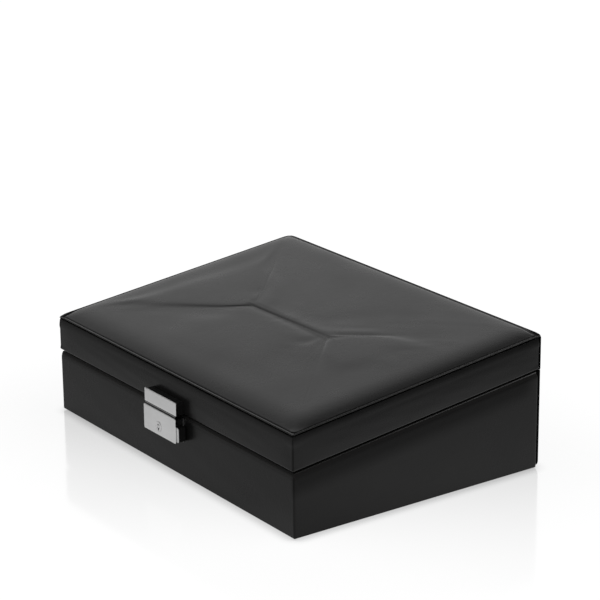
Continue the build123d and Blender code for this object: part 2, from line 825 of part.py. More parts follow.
for node in ("hasp", "lid_leather", "lid_front_rail"):
    with pieces[node]:
        add(pieces["lid_lock_rivets"].part, mode=Mode.SUBTRACT)

for name, piece in pieces.items():
    piece.part.label = name
    export_step(piece.part, f"parts/{name}.step")
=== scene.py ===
"""The looks of a wedge-shaped jewellery case in smooth black leather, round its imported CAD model.

Sizes are millimetres until a mesh is made. X is the width, Y runs from the front to the back, Z is up.
A ring is a closed line of points that runs anticlockwise seen from above, or from the side it faces.
"""

import json
import math

import bmesh
import bpy
import numpy as np
from mathutils import Matrix, Vector


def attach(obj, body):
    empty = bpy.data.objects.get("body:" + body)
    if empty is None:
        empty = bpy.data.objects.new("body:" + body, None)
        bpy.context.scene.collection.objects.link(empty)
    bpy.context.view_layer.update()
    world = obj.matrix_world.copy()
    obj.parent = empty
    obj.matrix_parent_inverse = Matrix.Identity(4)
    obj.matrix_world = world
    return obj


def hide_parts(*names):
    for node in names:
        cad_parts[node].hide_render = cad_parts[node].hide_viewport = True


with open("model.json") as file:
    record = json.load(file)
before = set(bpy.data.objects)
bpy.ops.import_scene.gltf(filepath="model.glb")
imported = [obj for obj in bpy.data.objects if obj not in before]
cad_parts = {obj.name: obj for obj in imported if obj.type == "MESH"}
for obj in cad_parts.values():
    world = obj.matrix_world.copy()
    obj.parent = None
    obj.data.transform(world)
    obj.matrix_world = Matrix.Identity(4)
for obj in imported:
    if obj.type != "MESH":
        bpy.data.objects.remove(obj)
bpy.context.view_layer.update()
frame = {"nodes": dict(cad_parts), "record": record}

MM = 0.001

# The base, the lid and the two sloping planes
BASE_HALF = 129.7
BASE_Y = (-90.4, 88.9)
LID_HALF = 129.8
LID_Y = (-91.0, 89.5)
LID_BACK_Y = 90.7
FRONT_CORNER = 0.9
BACK_CORNER = 2.0
WRAP_BACK_CORNER = 1.3
SEAM_FRONT_Z = 41.1
SEAM_RISE = 22.3 / 180.8
TOP_FRONT_Z = 64.3
TOP_RISE = 21.4 / 182.0
SEAM_COS = math.cos(math.atan(SEAM_RISE))
TOP_COS = math.cos(math.atan(TOP_RISE))
TOP_SIN = math.sin(math.atan(TOP_RISE))
SLOPE_LENGTH = 182.0 / TOP_COS
SOLE_Z = 0.8
FLOOR_Z = 7.3
BOARD_Z = 5.8
EASED_ANGLE = math.radians(32)
CLOTH_FRAMES = 20
CLOTH_PRESSURE = 4.0


def seam_z(y, off=0.0):
    """Height at depth y of the plane that lies off above the seam's middle."""
    return SEAM_FRONT_Z + (y - BASE_Y[0]) * SEAM_RISE + off / SEAM_COS


def top_z(y, off=0.0):
    """Height at depth y of the plane that lies off above the edge of the lid's top."""
    return TOP_FRONT_Z + (y - LID_Y[0]) * TOP_RISE + off / TOP_COS


def on_lid(x, along, up):
    """Points of the lid's own frame: x across, along the slope from the front, up from its edge plane."""
    x, along, up = np.broadcast_arrays(x, along, up)
    y = LID_Y[0] + along * TOP_COS - up * TOP_SIN
    z = TOP_FRONT_Z + along * TOP_SIN + up * TOP_COS
    return np.stack([x, y, z], axis=-1)


# Mesh helpers


def made(name, points, faces, crisp=35.0):
    """An object from points and faces, smooth except where faces meet at over crisp degrees."""
    mesh = bpy.data.meshes.new(name)
    mesh.from_pydata((np.asarray(points) * MM).tolist(), [], faces)
    mesh.update()
    mesh.shade_smooth()
    mesh.set_sharp_from_angle(angle=math.radians(crisp))
    piece = bpy.data.objects.new(name, mesh)
    bpy.context.scene.collection.objects.link(piece)
    return piece


def mark(piece, attribute, values):
    """Stores one number per point, for the materials to read."""
    layer = piece.data.attributes.new(attribute, "FLOAT", "POINT")
    layer.data.foreach_set("value", np.asarray(values, np.float32).ravel())


def skin(name, rings, loop=False, crisp=35.0):
    """A closed surface through rings, an array of rings by points by three.

    Point k of ring i joins points k and k + 1 of rings i and i + 1 in a four-sided face. The last ring
    joins the first if loop is true, and otherwise one face closes each end.
    """
    count, size = rings.shape[:2]
    index = np.arange(count * size).reshape(count, size)
    nearer = index if loop else index[:-1]
    further = np.roll(index, -1, axis=0) if loop else index[1:]
    quads = np.stack([nearer, np.roll(nearer, -1, 1), np.roll(further, -1, 1), further], axis=-1)
    faces = quads.reshape(-1, 4).tolist()
    if not loop:
        faces += [index[0, ::-1].tolist(), index[-1].tolist()]
    return made(name, rings.reshape(-1, 3), faces, crisp)


def run(count):
    """Shares from 0 up to 1, left out, that lie closer together near both ends: half of 1 - cosine."""
    return 0.5 - 0.5 * np.cos(np.pi * np.arange(count) / count)


def outline(half, depth, corners, inset=0.0, counts=(60, 44), arc=8):
    """A rounded rectangle's ring drawn in by inset, its outward directions and the shares along its sides.

    half is its half width, depth its (near, far) pair and corners its near and far radii. Each side is a
    run of shares, and each corner is its centre plus its radius times the cosine and sine of the angle.
    """
    near, far = depth[0] + inset, depth[1] - inset
    wide = half - inset
    radii = [max(corner - inset, 0.02) for corner in corners]
    places, facing, shares = [], [], []
    starts = (
        ((-wide + radii[0], near), (wide - radii[0], near), -90.0, radii[0], counts[0]),
        ((wide, near + radii[0]), (wide, far - radii[1]), 0.0, radii[1], counts[1]),
        ((wide - radii[1], far), (-wide + radii[1], far), 90.0, radii[1], counts[0]),
        ((-wide, far - radii[1]), (-wide, near + radii[0]), 180.0, radii[0], counts[1]),
    )
    for start, end, angle, radius, count in starts:
        share = run(count)[:, None]
        out = np.array([math.cos(math.radians(angle)), math.sin(math.radians(angle))])
        places.append(np.array(start) * (1 - share) + np.array(end) * share)
        facing.append(np.repeat(out[None], count, 0))
        shares.append(share[:, 0])
        turn = np.radians(angle + 90.0 * np.arange(arc) / arc)
        around = np.stack([np.cos(turn), np.sin(turn)], axis=-1)
        places.append(np.array(end) - out * radius + around * radius)
        facing.append(around)
        shares.append(np.zeros(arc))
    return np.concatenate(places), np.concatenate(facing), np.concatenate(shares)


def arc_steps(centre, radius, start, end, count):
    """Points of an arc as inset and rise: its centre plus radius times the cosine and sine of the angle."""
    angle = np.radians(np.linspace(start, end, count))
    return np.stack([centre[0] + radius * np.cos(angle), centre[1] + radius * np.sin(angle)], axis=-1)


def eased(node, width):
    """A copy of a CAD node whose doubles are merged, flat faces joined and sharp edges rounded by width."""
    mesh = frame["nodes"][node].data.copy()
    shape = bmesh.new()
    shape.from_mesh(mesh)
    bmesh.ops.remove_doubles(shape, verts=shape.verts, dist=1e-6)
    bmesh.ops.dissolve_limit(shape, angle_limit=math.radians(1), verts=shape.verts, edges=shape.edges)
    shape.to_mesh(mesh)
    shape.free()
    mesh.shade_smooth()
    mesh.set_sharp_from_angle(angle=EASED_ANGLE)
    mesh.materials.clear()
    piece = bpy.data.objects.new(f"{node}_eased", mesh)
    bpy.context.scene.collection.objects.link(piece)
    bevel = piece.modifiers.new("eased_edges", "BEVEL")
    bevel.width = width * MM
    bevel.segments = 2
    bevel.limit_method = "ANGLE"
    bevel.angle_limit = EASED_ANGLE
    bevel.harden_normals = True
    return piece


def puffed(piece, held, most):
    """Lets a soft cover swell by cloth simulation from inside pressure, except at its held points.

    A point that the cloth moves by d moves by most * d / (most + d), so by no more than most.
    """
    group = piece.vertex_groups.new(name="held")
    group.add(np.flatnonzero(held).tolist(), 1.0, "REPLACE")
    cloth = piece.modifiers.new("swelling", "CLOTH")
    cloth.settings.vertex_group_mass = "held"
    cloth.settings.use_pressure = True
    cloth.settings.uniform_pressure_force = CLOTH_PRESSURE
    cloth.settings.effector_weights.gravity = 0.0
    cloth.collision_settings.use_collision = False
    cloth.point_cache.frame_start = 1
    cloth.point_cache.frame_end = CLOTH_FRAMES
    for step in range(1, CLOTH_FRAMES + 1):
        bpy.context.scene.frame_set(step)
    swollen = piece.evaluated_get(bpy.context.evaluated_depsgraph_get()).data
    start = np.empty((len(piece.data.vertices), 3), np.float32)
    end = np.empty_like(start)
    piece.data.vertices.foreach_get("co", start.ravel())
    swollen.vertices.foreach_get("co", end.ravel())
    move = end - start
    length = np.linalg.norm(move, axis=1)[:, None]
    start += move * most * MM / (most * MM + length)
    piece.modifiers.remove(cloth)
    piece.vertex_groups.clear()
    piece.data.vertices.foreach_set("co", start.ravel())
    piece.data.update()
    bpy.context.scene.frame_set(1)


def fitted(piece, body, slot, *nodes):
    """Gives a piece its slot's material and its body, and lets it stand for the CAD nodes it replaces."""
    if not piece.data.materials:
        piece.data.materials.append(FINISH_OF_SLOT[slot])
    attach(piece, body)
    if nodes:
        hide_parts(*nodes)
    return piece


# Materials


def put(tree, kind, inputs=None, **settings):
    """Adds a node to a tree, sets it up and links or sets its inputs."""
    new_node = tree.nodes.new(kind)
    for setting, value in settings.items():
        setattr(new_node, setting, value)
    for socket, value in (inputs or {}).items():
        if isinstance(value, bpy.types.NodeSocket):
            tree.links.new(value, new_node.inputs[socket])
        else:
            new_node.inputs[socket].default_value = value
    return new_node


class Recipe:
    """A material's nodes, added one by one and linked by name."""

    def __init__(self, name, **sockets):
        self.material = bpy.data.materials.new(name)
        self.material.use_nodes = True
        self.tree = self.material.node_tree
        self.shader = self.tree.nodes["Principled BSDF"]
        for socket, value in sockets.items():
            self.shader.inputs[socket.replace("_", " ")].default_value = value
        self.place = self.node("ShaderNodeTexCoord").outputs["Object"]

    def node(self, kind, inputs=None, **settings):
        """Adds a node to this material."""
        return put(self.tree, kind, inputs, **settings)

    def stretched(self, scale):
        """Object coordinates, stretched by a scale for each axis."""
        return self.node("ShaderNodeMapping", {"Vector": self.place, "Scale": scale}).outputs["Vector"]

    def noise(self, scale, detail=3.0, roughness=0.5, distortion=0.0, place=None):
        """Cloudy noise from 0 to 1 with this many waves per metre."""
        inputs = {
            "Vector": place or self.place,
            "Scale": scale,
            "Detail": detail,
            "Roughness": roughness,
            "Distortion": distortion,
        }
        return self.node("ShaderNodeTexNoise", inputs).outputs["Fac"]

    def cells(self, scale):
        """Distance to the nearest cell middle, for pores and grain."""
        inputs = {"Vector": self.place, "Scale": scale}
        return self.node("ShaderNodeTexVoronoi", inputs, feature="SMOOTH_F1").outputs["Distance"]

    def spread(self, value, low, high, from_low=0.3, from_high=0.7):
        """Turns a value's range into the range from low to high."""
        inputs = {"Value": value, "From Min": from_low, "From Max": from_high}
        inputs.update({"To Min": low, "To Max": high})
        return self.node("ShaderNodeMapRange", inputs).outputs["Result"]

    def maths(self, operation, first, second):
        """One sum of two values."""
        return self.node("ShaderNodeMath", {0: first, 1: second}, operation=operation).outputs["Value"]

    def chosen(self, share, first, second):
        """A value between two values."""
        return self.node("ShaderNodeMix", {0: share, 2: first, 3: second}).outputs[0]

    def layered(self, share, under, over):
        """A surface between two surfaces."""
        return self.node("ShaderNodeMixShader", {"Fac": share, 1: under, 2: over}).outputs[0]

    def mixed(self, share, first, second):
        """A colour between two colours."""
        return self.node("ShaderNodeMix", {0: share, 6: first, 7: second}, data_type="RGBA").outputs[2]

    def attribute(self, name):
        """A number stored on the mesh."""
        return self.node("ShaderNodeAttribute", attribute_name=name).outputs["Fac"]

    def bump(self, height, distance, strength=1.0, under=None):
        """Raises the surface by a height, on top of another bump."""
        inputs = {"Height": height, "Distance": distance, "Strength": strength}
        if under is not None:
            inputs["Normal"] = under
        return self.node("ShaderNodeBump", inputs).outputs["Normal"]

    def wear(self, **links):
        """Links values to the shader's sockets."""
        for socket, value in links.items():
            self.tree.links.new(value, self.shader.inputs[socket.replace("_", " ")])
        return self.material


def grey(value, tint=0.0):
    """A grey in linear light, a little warmer where tint is above 0."""
    return (value * (1 + tint), value, value * (1 - tint), 1.0)


def leather(name, shade=0.004, gloss=0.17, low=0.24, high=0.34):
    """Smooth nappa: fine pores, faint creases and clouding, shiny where rubbed, a painted shade band."""
    recipe = Recipe(name)
    cloud = recipe.noise(22, 4, 0.55)
    pores = recipe.cells(950)
    grain = recipe.noise(1500, 3, 0.6)
    crease = recipe.noise(140, 3, 0.5, 1.2)
    rubbed = recipe.attribute("rubbed")
    tone = recipe.mixed(recipe.spread(cloud, 0, 1), grey(shade * 0.8, 0.01), grey(shade * 1.25, 0.02))
    tone = recipe.mixed(rubbed, tone, grey(shade * 2.2, 0.03))
    uneven = recipe.maths("ADD", cloud, recipe.maths("MULTIPLY", grain, 0.25))
    sheen = recipe.spread(uneven, low, high, 0.4, 0.85)
    sheen = recipe.maths("SUBTRACT", sheen, recipe.maths("MULTIPLY", rubbed, 0.06))
    soft = recipe.bump(crease, 0.0004, 0.10)
    strength = recipe.spread(rubbed, 0.17, 0.05, 0.0, 1.0)
    fine = recipe.bump(recipe.maths("ADD", pores, grain), 0.00012, strength, soft)
    # Painted shade: half the gloss in the marked band darkens the reflection there
    shine = recipe.spread(recipe.attribute("shade_band"), gloss, gloss * 0.5, 0.0, 1.0)
    return recipe.wear(Base_Color=tone, Roughness=sheen, Specular_IOR_Level=shine, Normal=fine)


def cut_edge_and_groove_shade(name):
    """Cut-edge paint, matt and nearly black with brush strokes along it; also painted shade in grooves."""
    recipe = Recipe(name, Specular_IOR_Level=0.03)
    strokes = recipe.noise(300, 3, 0.6, 0.0, recipe.stretched((1, 1, 0.15)))
    tone = recipe.mixed(recipe.spread(strokes, 0, 1), grey(0.0008), grey(0.002))
    return recipe.wear(
        Base_Color=tone,
        Roughness=recipe.spread(strokes, 0.6, 0.8),
        Normal=recipe.bump(strokes, 0.0001, 0.3),
    )


def suede(name, shade=0.05):
    """Suede cloth: short nap brushed to and fro, in lighter and darker strokes."""
    recipe = Recipe(name, Specular_IOR_Level=0.1, Sheen_Weight=0.35, Sheen_Roughness=0.4)
    strokes = recipe.noise(60, 4, 0.6, 1.2)
    nap = recipe.noise(2600, 2, 0.7)
    fluff = recipe.noise(900, 3, 0.6)
    share = recipe.maths("ADD", recipe.maths("MULTIPLY", strokes, 0.6), recipe.maths("MULTIPLY", nap, 0.4))
    tone = recipe.mixed(recipe.spread(share, 0, 1, 0.38, 0.62), grey(shade * 0.78), grey(shade * 1.28))
    return recipe.wear(
        Base_Color=tone,
        Roughness=recipe.spread(nap, 0.85, 1.0),
        Normal=recipe.bump(recipe.maths("ADD", nap, fluff), 0.00025, 0.5),
    )


def metal(name, shade, low, high, brushed, gold=0.0):
    """Plated metal: fine brush lines along one axis and faint smears."""
    recipe = Recipe(name, Metallic=1.0)
    lines = recipe.noise(900, 3, 0.65, 0.0, recipe.stretched(brushed))
    smears = recipe.noise(120, 3, 0.5)
    tone = recipe.mixed(recipe.spread(smears, 0, 1), grey(shade * 0.95, gold), grey(shade * 1.03, gold))
    share = recipe.maths("ADD", recipe.maths("MULTIPLY", lines, 0.6), recipe.maths("MULTIPLY", smears, 0.4))
    return recipe.wear(
        Base_Color=tone,
        Roughness=recipe.spread(share, low, high, 0.35, 0.65),
        Normal=recipe.bump(lines, 0.00002, 0.12),
    )


def enamel(name):
    """Black stoved enamel: satin, with faint orange-peel."""
    recipe = Recipe(name, Specular_IOR_Level=0.3)
    peel = recipe.noise(700, 2, 0.5)
    dust = recipe.noise(90, 4, 0.6)
    tone = recipe.mixed(recipe.spread(dust, 0, 1), grey(0.004), grey(0.007))
    return recipe.wear(
        Base_Color=tone,
        Roughness=recipe.spread(dust, 0.28, 0.38),
        Normal=recipe.bump(peel, 0.00005, 0.15),
    )


def mirror_silver(name):
    """Silvered glass with the faintest wipe marks."""
    recipe = Recipe(name, Metallic=1.0)
    wipes = recipe.noise(28, 3, 0.5, 2.0)
    tone = recipe.mixed(recipe.spread(wipes, 0, 1), grey(0.86), grey(0.9))
    return recipe.wear(Base_Color=tone, Roughness=recipe.spread(wipes, 0.015, 0.05))


def fibreboard(name):
    """Pressed fibreboard: light and dark fibres in a warm brown."""
    recipe = Recipe(name, Specular_IOR_Level=0.2)
    fibres = recipe.noise(700, 5, 0.7, 0.5)
    patches = recipe.noise(60, 3, 0.5)
    most = recipe.maths("MULTIPLY", fibres, 0.7)
    share = recipe.maths("ADD", most, recipe.maths("MULTIPLY", patches, 0.3))
    tone = recipe.mixed(recipe.spread(share, 0, 1), (0.3, 0.2, 0.12, 1), (0.5, 0.37, 0.25, 1))
    return recipe.wear(
        Base_Color=tone,
        Roughness=recipe.spread(fibres, 0.75, 0.95),
        Normal=recipe.bump(fibres, 0.0002, 0.4),
    )


def felt(name):
    """Pressed felt: tangled fibres in near black."""
    recipe = Recipe(name, Specular_IOR_Level=0.1, Sheen_Weight=0.2, Sheen_Roughness=0.5)
    fibres = recipe.noise(1500, 4, 0.75, 3.0)
    tufts = recipe.noise(220, 4, 0.6)
    tone = recipe.mixed(recipe.spread(fibres, 0, 1), grey(0.009), grey(0.028))
    return recipe.wear(
        Base_Color=tone,
        Roughness=recipe.spread(tufts, 0.9, 1.0),
        Normal=recipe.bump(recipe.maths("ADD", fibres, tufts), 0.0003, 0.5),
    )


def foam(name):
    """Soft foam: small open cells in cream."""
    recipe = Recipe(name, Specular_IOR_Level=0.1)
    cells = recipe.cells(1200)
    tone = recipe.mixed(recipe.spread(cells, 0, 1, 0.0, 0.6), (0.45, 0.42, 0.34, 1), (0.72, 0.7, 0.62, 1))
    return recipe.wear(
        Base_Color=tone,
        Roughness=recipe.spread(cells, 0.85, 1.0),
        Normal=recipe.bump(cells, 0.0003, 0.5),
    )


NAPPA = leather("smooth_black_nappa")
EDGE_PAINT_AND_SHADE = cut_edge_and_groove_shade("painted_cut_edge_and_groove_shade")
SUEDE = suede("dark_grey_suede")
NICKEL = metal("satin_nickel", 0.82, 0.27, 0.36, (0.06, 1, 1))
STEEL = metal("plain_steel", 0.42, 0.3, 0.45, (1, 1, 0.2))
ENAMEL = enamel("satin_black_enamel")
MIRROR = mirror_silver("silvered_glass")
BOARD = fibreboard("fibreboard")
FELT = felt("black_felt")
FOAM = foam("cream_foam")

FINISH_OF_SLOT = {
    "leather": NAPPA,
    "board": BOARD,
    "foot_cloth": FELT,
    "suede": SUEDE,
    "foam": FOAM,
    "mirror_glass": MIRROR,
    "nickel": NICKEL,
    "steel": STEEL,
    "black_enamel": ENAMEL,
}
for subpart in frame["record"]["subparts"]:
    kept = frame["nodes"][subpart["node"]]
    kept.material_slots[0].material = FINISH_OF_SLOT[subpart["material_slot"]]

# Leather round the walls of the base and the lid

CORNER_REACH = 14


def wall_leather(name, half, depth, low, high, steps, belly, rubbed_rows, soft, fold):
    """Leather wrapped round four walls, between the sloping heights low and high.

    Each step is an inset, a share of the height and a rise. A ring's points are the rounded rectangle
    drawn in by the inset, at low + share * (high - low) + rise. The outer face swells by belly times
    the sine of pi times the share, fading out at the corners, and a fold stands at each front corner.
    soft is how far the face falls back at the upright corners, and fold is the depth of the fold.
    """
    rings, rubbed = [], []
    for number, (inset, share, rise) in enumerate(steps):
        flat, out, along = outline(half, depth, (FRONT_CORNER, WRAP_BACK_CORNER), inset, arc=10)
        swell = np.zeros(len(flat))
        if 0 < share < 1:
            fade = np.clip(np.sin(np.pi * along), 0, 1) ** 0.5
            ripple = 0.25 * np.sin(along * 19 + 3 * share) * np.sin(3 * np.pi * share + along * 5)
            swell = belly * math.sin(math.pi * share) ** 0.7 * fade * (1 + ripple)
            swell = swell + fold * corner_fold(flat, half, depth[0]) - soft * near_corner(flat, half, depth)
        flat = flat + out * swell[:, None]
        height = low(flat[:, 1]) * (1 - share) + high(flat[:, 1]) * share + rise
        rings.append(np.column_stack([flat, height]))
        rubbed.append(np.full(len(flat), 1.0 if number in rubbed_rows else 0.0))
    piece = skin(name, np.array(rings), loop=True, crisp=50)
    mark(piece, "rubbed", rubbed)
    return piece


def near_corner(flat, half, depth):
    """From 0 to 1 towards a wall's upright corners, by a square."""
    from_side = half - np.abs(flat[:, 0])
    from_end = np.minimum(flat[:, 1] - depth[0], depth[1] - flat[:, 1])
    left = np.clip(1 - np.maximum(from_side, from_end) / CORNER_REACH, 0, 1)
    return left**2


def corner_fold(flat, half, near):
    """How the turned edge of the leather dips at each front corner, as a share of the fold's depth.

    Measured along the walls from the corner: a dip at the corner itself, and a low ridge a fifth as
    high beside it on the front, both bell curves.
    """
    from_front = flat[:, 1] - near
    from_side = half - np.abs(flat[:, 0])
    way = from_front - from_side
    dip = -np.exp(-((way - 0.1) / 0.5) ** 2)
    ridge = 0.2 * np.exp(-((way + 1.4) / 0.7) ** 2)
    close = (from_front < 4) & (from_side < 4)
    return np.where(close, dip + ridge, 0.0)


def steps_up(foot, shoulder, rows):
    """Rows of the outer face, from the rise foot over the low plane to shoulder under the high one."""
    share = np.linspace(0, 1, rows)
    return [(0.0, s, foot * (1 - s) - shoulder * s) for s in share]


def rim_curve(inset, fall):
    """A quarter of a rim's oval from the face to the top: cosine times inset, and sine times fall."""
    angle = np.radians([172, 164, 155, 145, 134, 123, 112, 101, 90])
    return np.stack([inset * np.cos(angle), fall * (np.sin(angle) - 1)], axis=-1)


SOLE_ROUND = 0.8
RIM_ROUND = 1.6
RIM_FALL = 5.0
base_steps = [(12.0, 0, 0.0), (6.0, 0, 0.0), (2.0, 0, 0.0)]
base_steps += [(i, 0, r) for i, r in arc_steps((SOLE_ROUND, SOLE_ROUND), SOLE_ROUND, 270, 190, 5)]
base_steps += steps_up(SOLE_ROUND, RIM_FALL, 16)
base_steps += [(RIM_ROUND + i, 1, r) for i, r in rim_curve(RIM_ROUND, RIM_FALL)]
rim_rows = range(len(base_steps) - 6, len(base_steps))
base_steps += [(3.2, 1, 0.0), (5.6, 1, 0.0), (6.0, 1, -0.3), (6.0, 1, -0.5), (3.0, 1, -0.5), (2.2, 1, -3.0)]
base_steps += [(1.0, 1, -9.0), (1.0, 0, 1.0), (12.0, 0, 1.0)]
base_skin = wall_leather(
    "base_leather_wrap",
    BASE_HALF,
    BASE_Y,
    lambda y: np.full_like(y, SOLE_Z),
    lambda y: seam_z(y, -0.85),
    base_steps,
    belly=0.3,
    rubbed_rows=rim_rows,
    soft=0.0,
    fold=0.14,
)

# Painted shade: the right side has less gloss in a band below the seam, fading out downwards and at the back

SHADE_BAND_DEPTH = 17
SHADE_BAND_FADE = 8
SIDE_SKIN = 3
SIDE_FADE = 2
BACK_STRIP = 2
spots = np.empty((len(base_skin.data.vertices), 3), np.float32)
base_skin.data.vertices.foreach_get("co", spots.ravel())
spots = spots / MM
below = seam_z(spots[:, 1]) - spots[:, 2]
band = np.clip((SHADE_BAND_DEPTH - below) / SHADE_BAND_FADE, 0, 1)
on_right = np.clip((spots[:, 0] - BASE_HALF + SIDE_SKIN) / SIDE_FADE, 0, 1)
from_back = np.clip((BASE_Y[1] - spots[:, 1] - BACK_STRIP) / SHADE_BAND_FADE, 0, 1)
mark(base_skin, "shade_band", band * on_right * from_back)
fitted(base_skin, "base", "leather", "base_leather")

LID_RIM_ROUND = 0.8
LID_RIM_FALL = 1.2
LEAN_INSET = 0.6
LEAN_FALL = 5.0
lid_steps = [(5.0, 0, 0.0), (2.0, 0, 0.0)]
lid_steps += [(LID_RIM_ROUND + i, 0, -r) for i, r in rim_curve(LID_RIM_ROUND, LID_RIM_FALL)[::-1]]
lid_steps += steps_up(LID_RIM_FALL, LEAN_FALL, 12)
lid_steps += [(LEAN_INSET * s**2, 1, LEAN_FALL * (s - 1)) for s in (0.15, 0.3, 0.45, 0.6, 0.75, 0.9, 0.98)]
lid_steps += [(0.66, 1, 0.04), (1.5, 1, 0.05), (1.5, 1, 0.01), (1.0, 1, -0.5), (1.0, 0, 1.0), (5.0, 0, 1.0)]
lid_skin = wall_leather(
    "lid_leather_wrap",
    LID_HALF,
    LID_Y,
    lambda y: seam_z(y, 0.6),
    lambda y: top_z(y, -2.0),
    lid_steps,
    belly=0.35,
    rubbed_rows=range(2, 8),
    soft=0.3,
    fold=0.36,
)
fitted(lid_skin, "lid", "leather", "lid_leather")

# The welt round the lid's top

welt_steps = [(3.6, -1.9), (1.05, -1.9), (0.98, -1.86), (1.5, -1.76), (1.5, -0.95), (0.8, -0.85)]
welt_steps += arc_steps((0.4, -0.4), 0.38, 262, 20, 13).tolist()
welt_steps += [(0.82, -0.65), (1.0, -0.95), (3.6, -1.05), (3.6, -1.86)]
FLANGE_RISES = {19: 0.45, 20: 0.66, 21: 0.68}
FLANGE_START = 4
FLANGE_FADE = 8
HANG = 0.75
HANG_REACH = 7
TUCK = 0.7
TUCK_REACH = 8
WELT_RUBBED = range(8, 18)
# Rows of the groove under the welt, painted near black as shade
WELT_SHADE_ROWS = (1, 2, 3, 4)
GROOVE_FILLED = {3: 1.0, 4: 1.0, 5: 0.4}


def hang(flat):
    """How far the welt hangs at the lid's back corners and its front left one, by a square."""
    from_back = np.maximum(LID_HALF - np.abs(flat[:, 0]), LID_BACK_Y - flat[:, 1])
    from_front = np.maximum(LID_HALF + flat[:, 0], flat[:, 1] - LID_Y[0])
    return HANG * np.clip(1 - np.minimum(from_back, from_front) / HANG_REACH, 0, 1) ** 2


def at_corner(flat):
    """From 0 to 1 towards the welt's corners, by a square, where the groove under it runs out."""
    from_end = np.minimum(flat[:, 1] - LID_Y[0], LID_BACK_Y - flat[:, 1])
    from_corner = np.maximum(LID_HALF - np.abs(flat[:, 0]), from_end)
    return np.clip(1.3 - from_corner / HANG_REACH, 0, 1) ** 2


def tucked(flat):
    """The welt's ring with its front left corner pulled in, fading by a square."""
    from_corner = np.maximum(LID_HALF + flat[:, 0], flat[:, 1] - LID_Y[0])
    return flat + np.outer(TUCK * np.clip(1 - from_corner / TUCK_REACH, 0, 1) ** 2, (1.0, 0.0))


rings = []
for number, (inset, rise) in enumerate(welt_steps):
    flat, out, along = outline(LID_HALF, (LID_Y[0], LID_BACK_Y), (FRONT_CORNER, BACK_CORNER), inset)
    from_near_sides = np.minimum(LID_HALF - flat[:, 0], flat[:, 1] - LID_Y[0])
    far = np.clip((from_near_sides - FLANGE_START) / FLANGE_FADE, 0, 1)
    lifted = FLANGE_RISES.get(number, 0.0) * far * far * (3 - 2 * far) - hang(flat)
    flat = flat + out * (GROOVE_FILLED.get(number, 0.0) * at_corner(flat))[:, None]
    rings.append(np.column_stack([tucked(flat), top_z(flat[:, 1], rise + lifted)]))
welt = skin("lid_welt_bead", np.array(rings), loop=True, crisp=60)
mark(welt, "rubbed", np.repeat([float(n in WELT_RUBBED) for n in range(len(welt_steps))], len(flat)))
welt.data.materials.append(NAPPA)
welt.data.materials.append(EDGE_PAINT_AND_SHADE)
face_rows = np.repeat(np.arange(len(welt_steps)), len(flat))
# Painted shade: the groove under the welt takes the near-black edge paint, so it stays dark
welt.data.polygons.foreach_set("material_index", np.isin(face_rows, WELT_SHADE_ROWS).astype(np.int32))
fitted(welt, "lid", "leather", "lid_welt")

# The crowned pad of the lid's top

PAD_MARGIN = 2.4
PAD_CORNER = 3.0
PAD_LOW = -0.6
PAD_CROWN = 3.1
PUFF = 0.5
SLOW_FALL = (20.0, 3.0)
SHOULDER_FALL = (2.6, 2.4)
REST_FALL = (14.0, 3.0)
SHOULDER_SHARE = 0.65
SHOULDER_EDGE = 0.5
PAD_HALF = LID_HALF - PAD_MARGIN
PAD_DEPTH = (PAD_MARGIN, SLOPE_LENGTH - PAD_MARGIN)


def pad_share(inset, reach, power):
    """How much of its crown the pad has at an inset from one edge: 1 - (1 - inset / reach) ^ power."""
    left = np.clip(1 - inset / reach, 0, 1)
    return 1 - left**power


def firm_share(inset):
    """The same at the left and the back, where two thirds of the rise are a firm shoulder at the edge."""
    shoulder = pad_share(inset - SHOULDER_EDGE, *SHOULDER_FALL)
    return SHOULDER_SHARE * shoulder + (1 - SHOULDER_SHARE) * pad_share(inset, *REST_FALL)


def pad_height(flat):
    """The pad's height over the lid's edge plane: the crown times the shares from all four edges."""
    share = firm_share(flat[:, 0] + PAD_HALF) * pad_share(PAD_HALF - flat[:, 0], *SLOW_FALL)
    share = share * pad_share(flat[:, 1] - PAD_DEPTH[0], *SLOW_FALL) * firm_share(PAD_DEPTH[1] - flat[:, 1])
    return PAD_LOW + PAD_CROWN * share


pad_steps = [(0.6, -2.0), (0.0, -1.9), (0.0, -1.3), (0.06, -0.95), (0.25, -0.72), (0.55, -0.6)]
edge_insets = [0.7, 0.9, 1.15, 1.45, 1.8, 2.2, 2.7, 3.3, 4.2, 5.6]
pad_insets = np.concatenate([edge_insets, np.arange(7.5, 88, 3.2)])
rings = []
for inset in [step[0] for step in pad_steps] + pad_insets.tolist():
    corners = (PAD_CORNER + inset / 2, PAD_CORNER + inset / 2)
    flat = outline(PAD_HALF, PAD_DEPTH, corners, inset)[0]
    rise = pad_height(flat)
    if len(rings) < len(pad_steps):
        rise = np.minimum(rise, pad_steps[len(rings)][1])
    rings.append(on_lid(flat[:, 0], flat[:, 1], rise))
pad = skin("lid_padded_top", np.array(rings), crisp=60)
ring_of_point = np.repeat(np.arange(len(rings)), len(flat))
puffed(pad, ring_of_point < len(pad_steps), PUFF)
mark(pad, "rubbed", np.zeros(len(pad.data.vertices)))
fitted(pad, "lid", "leather", "lid_top_leather", "lid_foam")

# The panels of leather glued on behind

PANEL_SHY = 0.3


